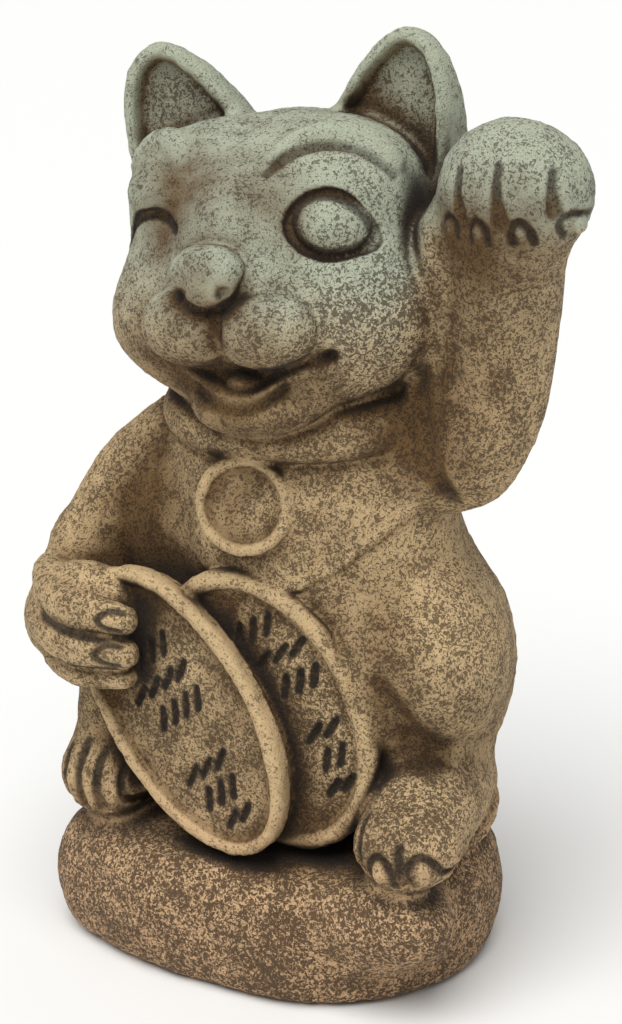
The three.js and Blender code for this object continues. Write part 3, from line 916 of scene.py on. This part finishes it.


# Lines painted dark, partly the wash that stood in them and partly painted shade: the line, its width in
# millimetres and how dark it is
PHILTRUM = [(-1.5, -58, -9), (-1.5, -57, -17), (-2, -54, -25)]
SMILE_CORNER = [(10, -50, -30.5), (20, -46.5, -29), (27.5, -42, -27.4)]
NOSTRIL_LINES = [[(x - 1.2, y, z), (x + 1.2, y, z)] for _, (x, y, z) in NOSTRILS]
FINGER_GAPS = [(FINGER_LINES[i] + FINGER_LINES[i + 1])[:, :3] / 2 - np.array([0, 4.5, 0]) for i in (0, 1)]
LINES = [
    (on_head(WINK_LINE), 2.9, 0.95),
    (on_head(BROW_GROOVE), 2.2, 0.55),
    (on_head(EYE_RING), 3.4, 0.75),
    (on_head(CHIN_LINE), 1.8, 0.55),
    (on_head(PHILTRUM), 1.2, 0.8),
    (on_head(SMILE_CORNER), 3.0, 0.85),
    *((on_head(line), 3.0, 0.85) for line in NOSTRIL_LINES),
    *((line, 2.0, 0.7) for line in PAW_GAPS),
    *((line, 1.5, 0.85) for line in PAW_ARCHES + NAIL_LINES),
    *((line, 2.6, 0.85) for line in FINGER_GAPS),
    (ARM_CREASE, 3.5, 0.6),
    *((line, 2.4, 0.85) for line, _ in LEFT_TOOLS[0] + RIGHT_TOOLS[0]),
    *((line, 2.0, 0.9) for line in LEFT_TOOLS[1]),
    *((line, 1.9, 0.97) for line in FRONT_STROKES + BACK_STROKES),
]

# Where the brown wash was left thick, or wiped thin, with painted shade in creases and between the parts, and
# painted light on the lit sides and under the left foot: the middle, the radius and the strength
PATINA_SHADE_AND_LIGHT_SPOTS = [
    # Raised arm and paw
    ((58, -4, 196), 26, 0.4),
    ((49, -18, 184), 13, 0.7),
    ((56, -18, 170), 12, 0.7),
    ((72, -18, 228), 16, 0.45),
    ((72, -25, 246), 12, 0.6),
    ((86, -22, 250), 12, 0.75),
    ((93, -13, 262), 8, -0.4),
    ((76, 4, 196), 16, -0.3),
    ((61, -21, 248), 10, 0.7),
    ((68, -19, 233), 11, 0.5),
    ((67, -17, 200), 12, 0.4),
    # Forehead, nose and muzzle
    ((-22, -40, 250), 13, 0.75),
    ((-6, -44, 252), 15, 0.7),
    ((14, -42, 250), 10, 0.5),
    ((5, -63, 232), 9, 0.6),
    ((-4, -60, 217), 14, 0.4),
    ((18, -58, 216), 14, 0.55),
    ((-24, -46, 207), 13, 0.5),
    ((-17, -47, 198), 11, 0.7),
    ((-24, -42, 236), 8, 0.5),
    ((31, -39, 203), 8, 0.5),
    ((14, -55, 232), 10, -0.6),
    # Sides of the head, wiped paler and partly painted light
    ((38, -6, 262), 14, -0.7),
    ((43, -18, 250), 12, -0.6),
    ((43, -24, 234), 14, -0.6),
    ((34, -38, 222), 15, -0.4),
    ((40, -5, 257), 9, -0.8),
    ((45, -24, 206), 12, -0.8),
    ((38, -21, 194), 8, -0.9),
    ((-30, -3, 268), 12, -0.4),
    # Chest, holding arm and hand
    ((2, -52, 188), 13, 0.8),
    ((41, -22, 184), 8, 0.5),
    ((20, -47, 189), 11, 0.4),
    ((-48, -25, 144), 10, 1.3),
    ((-43, -20, 160), 10, 0.7),
    ((-37, -50, 127), 9, -0.6),
    ((14, -36, 158), 8, -0.5),
    # Belly and haunch
    ((44, -25, 128), 13, 0.6),
    ((50, -32, 108), 13, 0.75),
    ((52, -8, 138), 18, -0.7),
    ((64, -8, 122), 16, -0.5),
    ((60, 7, 126), 12, -0.5),
    # Coins
    ((18, -33, 114), 18, -0.4),
    ((25, -32, 84), 14, -0.5),
    ((36, -31, 84), 11, -0.5),
    ((13, -35, 104), 8, -0.4),
    ((-25, -46, 102), 12, -0.6),
    ((-12, -34, 132), 12, -0.6),
    # Left foot and the mound
    ((55, -46, 60), 9, 0.5),
    ((69, -44, 54), 6, 0.4),
    ((72, -26, 62), 14, -0.6),
    ((50, -30, 75), 8, -0.7),
    ((68, -20, 46), 11, -0.6),
    ((55, -42, 38), 12, -1.0),
    ((52, -26, 89), 11, 0.6),
    ((64, -2, 30), 22, -0.8),
    ((72, -36, 32), 20, -0.6),
    ((-38, -43, 41), 16, -0.6),
    ((-8, -47, 41), 10, -0.4),
]

# Where the casting pits lie close together, or further apart
PITTED = [
    ((38, -22, 218), 22, 0.35),
    ((46, -30, 100), 26, 0.1),
    ((58, -30, 66), 20, 0.2),
    ((-38, -26, 222), 16, 0.2),
    ((-62, -34, 118), 22, -0.15),
]

# What the clay's form gives: hollows, ridges, tool marks, sunk floors, and the head, arm and mound
faces = np.empty(len(mesh.polygons) * 3, int)
mesh.polygons.foreach_get("vertices", faces)
# deep: how shut in each place is, used for painted shade under and between the parts
deep = eased(mesh, occlusion_for_shade(p, out, faces.reshape(-1, 3)), 4)
worn = exposed(p, out, 4.5)
q = (p - HEAD_CENTRE) @ HEAD_TURN
mouth_wall = 1 - ramp(0.4, 1.4, np.abs(limb(q, MOUTH, (0, 1, 0))))
# Dark along cut lines and creases, and inside the mouth's hollow, partly patina and partly painted shade
line_patina_and_shade = np.max([dark * line_mask(p, line, width) for line, width, dark in LINES], axis=0)
line_patina_and_shade = np.maximum(line_patina_and_shade, 0.9 * mouth_wall * ramp(0.8, 2.4, -skull(q)))
fields, edges = np.max([disc_floor(p, **one) for one in DISCS], axis=0)
ear_floors = np.max([ear_floor(q, side) for side in (-1, 1)], axis=0)
arm_share = ramp(47, 54, p[:, 0]) * (1 - ramp(236, 250, p[:, 2]))
head_share = ramp(184, 246, p[:, 2]) * (1 - 0.75 * arm_share)
mound_share = 1 - ramp(40, 50, p[:, 2])

# The corner between each disc's rim and field is darkened partly by the wash and partly as painted shade
brown = 0.22 * (1 - head_share) - 0.18 * mound_share + 0.25 * fields + 0.5 * edges + 0.15 * ear_floors
pitting = 0.1 - 0.2 * head_share + 0.25 * mound_share + 0.15 * fields + 0.2 * ear_floors
paint = {
    "line_patina_and_shade": line_patina_and_shade,
    "crease": sheltered(p, out, 4.0),
    "hollow": sheltered(p, out, 11.0),
    "deep": deep,
    "worn": worn,
    "brown": brown + spots(p, PATINA_SHADE_AND_LIGHT_SPOTS),
    "pitting": pitting + spots(p, PITTED) - 0.5 * worn,
    "sage": np.clip(head_share + 0.35 * out[:, 2] * head_share, 0, 1.3),
    "warm": 1 - ramp(20, 80, p[:, 2]),
}
for name, values in paint.items():
    layer = mesh.attributes.new(name, "FLOAT", "POINT")
    layer.data.foreach_set("value", values)

# Hand-made dents, coarse grain and fine grain: the width and the height of each, in millimetres
RELIEF = ((17, 0.5), (4.1, 0.32), (1.9, 0.26))
raised = [sum(high * noise.noise(Vector(place) / wide) for wide, high in RELIEF) for place in p]
set_points(mesh, p + out * np.array(raised)[:, None])
for polygon in mesh.polygons:
    polygon.use_smooth = True

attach(cat, "root")
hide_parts("lucky_cat")


# Cast stone: sand and cement from a mould, washed with a brown patina that was wiped off the high places,
# with painted shade in its hollows and creases

def linear(code):
    """An sRGB hex colour as linear red, green, blue and alpha."""
    channels = [int(code[i : i + 2], 16) / 255 for i in (1, 3, 5)]
    return [c / 12.92 if c <= 0.04045 else ((c + 0.055) / 1.055) ** 2.4 for c in channels] + [1.0]


def add(tree, kind, inputs, output=0, **settings):
    """Adds one node with its settings and its inputs, values or other nodes' outputs, and gives an output."""
    node = tree.nodes.new(kind)
    for name, value in settings.items():
        setattr(node, name, value)
    for socket, value in inputs.items():
        if isinstance(value, bpy.types.NodeSocket):
            tree.links.new(value, node.inputs[socket])
        else:
            node.inputs[socket].default_value = value
    return node.outputs[output]


TAN = "#cfb285"
SAGE = "#b0b59f"
PINK = "#d0aa80"
UMBER = "#634620"
PIT_BROWN = "#3c2712"
# Near black of the painted shadow in deep corners, and of the wash and shade in cut lines
PATINA_AND_SHADOW_DARK = "#261c12"

stone = bpy.data.materials.new("cast_stone")
stone.use_nodes = True
tree = stone.node_tree
shader = tree.nodes["Principled BSDF"]
place = add(tree, "ShaderNodeTexCoord", {}, "Object")
given = {name: add(tree, "ShaderNodeAttribute", {}, "Fac", attribute_name=name) for name in paint}

# Uneven patterns: the width of their features in millimetres, their detail and their distortion
grown = {}
for name, width, detail, distortion in (
    ("pits", 1.15, 2.5, 0.8),
    ("specks", 0.6, 2.0, 0.4),
    ("patches", 9.0, 4.0, 0.4),
    ("clouds", 36.0, 2.0, 0.0),
):
    grown[name] = add(tree, "ShaderNodeTexNoise", {
        "Vector": place,
        "Scale": 1 / (width * MM),
        "Detail": detail,
        "Roughness": 0.6,
        "Distortion": distortion,
    }, "Fac")

# The stone under the wash: warm sand, pale grey green on the head and paw and pinker on the mound
bare = add(tree, "ShaderNodeMix", {0: given["sage"], 6: linear(TAN), 7: linear(SAGE)}, 2, data_type="RGBA")
bare = add(tree, "ShaderNodeMix", {0: given["warm"], 6: bare, 7: linear(PINK)}, 2, data_type="RGBA")

# The wash is thick in hollows and creases, thin on ridges, and uneven everywhere. Its thickening in hollows,
# creases and shut-in places is partly patina and partly painted shade
wash_and_shade = given["brown"]
for source, share in (
    (given["hollow"], 0.6),
    (given["deep"], 1.5),
    (given["crease"], 0.8),
    (given["worn"], -0.4),
    (grown["patches"], 1.2),
    (grown["clouds"], 0.6),
):
    wash_and_shade = add(tree, "ShaderNodeMath", {0: source, 1: share, 2: wash_and_shade}, operation="MULTIPLY_ADD")
wash_and_shade = add(tree, "ShaderNodeMapRange", {
    "Value": wash_and_shade,
    "From Min": 0.85,
    "From Max": 2.2,
    "To Max": 0.95,
})
washed_and_shaded = add(tree, "ShaderNodeMix", {0: wash_and_shade, 6: bare, 7: linear(UMBER)}, 2, data_type="RGBA")

# Casting pits and finer pores hold the wash too. They lie closer together where the stone is rough
crowd = {0: grown["patches"], 1: 1.2, 2: given["pitting"]}
crowd = add(tree, "ShaderNodeMath", crowd, operation="MULTIPLY_ADD")
sunk = []
for pattern, share, least, most in (("pits", 0.22, 0.665, 0.755), ("specks", 0.15, 0.66, 0.78)):
    hole = add(tree, "ShaderNodeMath", {0: crowd, 1: share, 2: grown[pattern]}, operation="MULTIPLY_ADD")
    sunk.append(add(tree, "ShaderNodeMapRange", {
        "Value": hole,
        "From Min": least,
        "From Max": most,
    }, interpolation_type="SMOOTHSTEP"))
sunk = add(tree, "ShaderNodeMath", {0: sunk[0], 1: sunk[1]}, operation="MAXIMUM")
depth = add(tree, "ShaderNodeMath", {0: given["pitting"], 1: 0.5, 2: 0.7}, operation="MULTIPLY_ADD")
dark = add(tree, "ShaderNodeMath", {0: sunk, 1: depth}, operation="MULTIPLY", use_clamp=True)
pitted = add(tree, "ShaderNodeMix", {0: dark, 6: washed_and_shaded, 7: linear(PIT_BROWN)}, 2, data_type="RGBA")

# Nearly black in cut lines and deep corners: painted shadow, together with the wash that stood in them
patina_and_shadow = add(tree, "ShaderNodeMath", {0: given["crease"], 1: 0.6, 2: given["hollow"]}, operation="MULTIPLY_ADD")
patina_and_shadow = add(tree, "ShaderNodeMapRange", {
    "Value": patina_and_shadow,
    "From Min": 0.5,
    "From Max": 1.5,
    "To Max": 0.9,
}, interpolation_type="SMOOTHSTEP")
patina_and_shadow = add(tree, "ShaderNodeMath", {0: patina_and_shadow, 1: given["line_patina_and_shade"]}, operation="MAXIMUM")
with_patina_and_shadow = add(tree, "ShaderNodeMix", {0: patina_and_shadow, 6: pitted, 7: linear(PATINA_AND_SHADOW_DARK)}, 2, data_type="RGBA")
tree.links.new(with_patina_and_shadow, shader.inputs["Base Color"])

# The pits are sunk and the sand grain stands in relief
height = add(tree, "ShaderNodeMath", {0: sunk, 1: -0.8, 2: grown["specks"]}, operation="MULTIPLY_ADD")
bump = add(tree, "ShaderNodeBump", {"Height": height, "Distance": 0.8 * MM, "Strength": 0.9})
tree.links.new(bump, shader.inputs["Normal"])
shader.inputs["Roughness"].default_value = 0.92
mesh.materials.clear()
mesh.materials.append(stone)


# Floor and light

bpy.ops.mesh.primitive_plane_add(size=12.0, location=(0, 0, 0))
floor = bpy.context.object
floor.name = "floor"
floor_finish = bpy.data.materials.new("pale_floor")
floor_finish.use_nodes = True
floor_shader = floor_finish.node_tree.nodes["Principled BSDF"]
floor_shader.inputs["Base Color"].default_value = linear("#f2f2f0")
floor_shader.inputs["Roughness"].default_value = 0.9
floor.data.materials.append(floor_finish)

world = bpy.data.worlds.new("studio")
bpy.context.scene.world = world
world.use_nodes = True
surround = world.node_tree.nodes["Background"]
surround.inputs["Color"].default_value = linear("#ffffff")
surround.inputs["Strength"].default_value = 0.38

# A broad light from above and in front
bpy.ops.object.light_add(type="SUN", location=(0, 0, 2))
key = bpy.context.object
key.name = "broad_light"
key.data.energy = 2.7
key.data.angle = math.radians(50)
key.rotation_euler = Vector((0.1, -0.65, 1.3)).to_track_quat("Z", "Y").to_euler()

low, high = cad_bounds
